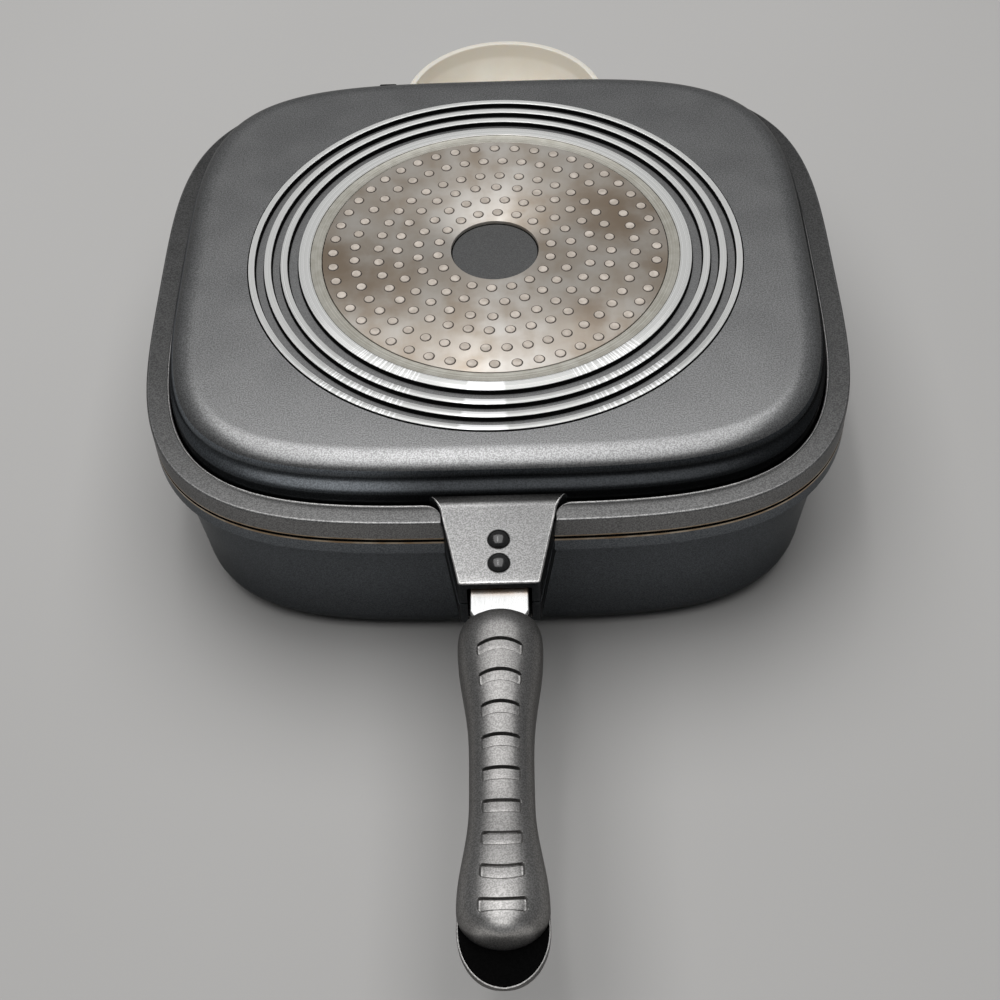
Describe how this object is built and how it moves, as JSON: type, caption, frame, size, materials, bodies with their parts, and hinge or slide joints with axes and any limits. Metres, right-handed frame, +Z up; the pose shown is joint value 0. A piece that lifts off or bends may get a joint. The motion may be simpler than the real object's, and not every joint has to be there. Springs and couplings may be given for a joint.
{
  "type": "double sided flip pan",
  "caption": "Hinged double-sided frying pan: deep lower pan, shallow upper pan, long magnetic handles and a pull-off drip tray behind the hinge.",
  "frame": {"origin": "middle of the footprint's bounding box, on the plane that the lower pan stands on", "axes": "+X to the right seen from the handle, +Y from the handle toward the hinge, +Z up"},
  "size_m": [0.281, 0.4935, 0.098],
  "materials": {
    "graphite_paint": "fine metallic graphite paint over cast aluminium, with bare machined rings on each base",
    "perforated_stainless": "brushed stainless disc with pressed dots, heat-tinted",
    "seal_rubber": "matt silicone seal",
    "tang_steel": "bright steel strap, pins and screws",
    "black_fastener": "glossy black rivets and screws",
    "grip_coating": "grey soft metallic coating over plastic",
    "face_plastic": "black satin plastic",
    "magnet_nickel": "nickel plate",
    "tray_plastic": "cream, slightly translucent plastic",
    "machined_aluminium": "bare aluminium, turned bright on the rings of each base",
    "non_stick_coating": "dark speckled non-stick coating on the cooking sides"
  },
  "bodies": {
    "base": {"left_hinge_pin": "tang_steel", "left_pin_clip": "tang_steel", "left_rail_screw": "tang_steel", "lower_base_plate": "perforated_stainless", "lower_grip": "grip_coating", "lower_grip_face": "face_plastic", "lower_grip_screw": "black_fastener", "lower_magnet": "magnet_nickel", "lower_pan": "graphite_paint", "lower_tang": "tang_steel", "lower_tang_rivet_1": "black_fastener", "lower_tang_rivet_2": "black_fastener", "right_hinge_pin": "tang_steel", "right_pin_clip": "tang_steel", "right_rail_screw": "tang_steel", "tray_latch": "face_plastic", "tray_rail": "tang_steel"},
    "lid": {"rim_gasket": "seal_rubber", "upper_base_plate": "perforated_stainless", "upper_grip": "grip_coating", "upper_grip_face": "face_plastic", "upper_grip_screw": "black_fastener", "upper_magnet": "magnet_nickel", "upper_pan": "graphite_paint", "upper_tang": "tang_steel", "upper_tang_rivet_1": "black_fastener", "upper_tang_rivet_2": "black_fastener"},
    "tray": {"drip_tray": "tray_plastic"}
  },
  "joints": [
    {"name": "lid_hinge", "type": "hinge", "parent": "base", "child": "lid", "pos_m": [0, 0.19715, 0.068], "axis": [-1, 0, 0], "range_deg": [0, 100]},
    {"name": "tray_pull", "type": "slide", "parent": "base", "child": "tray", "axis": [0, 1, 0], "range_m": [0, 0.06]}
  ]
}
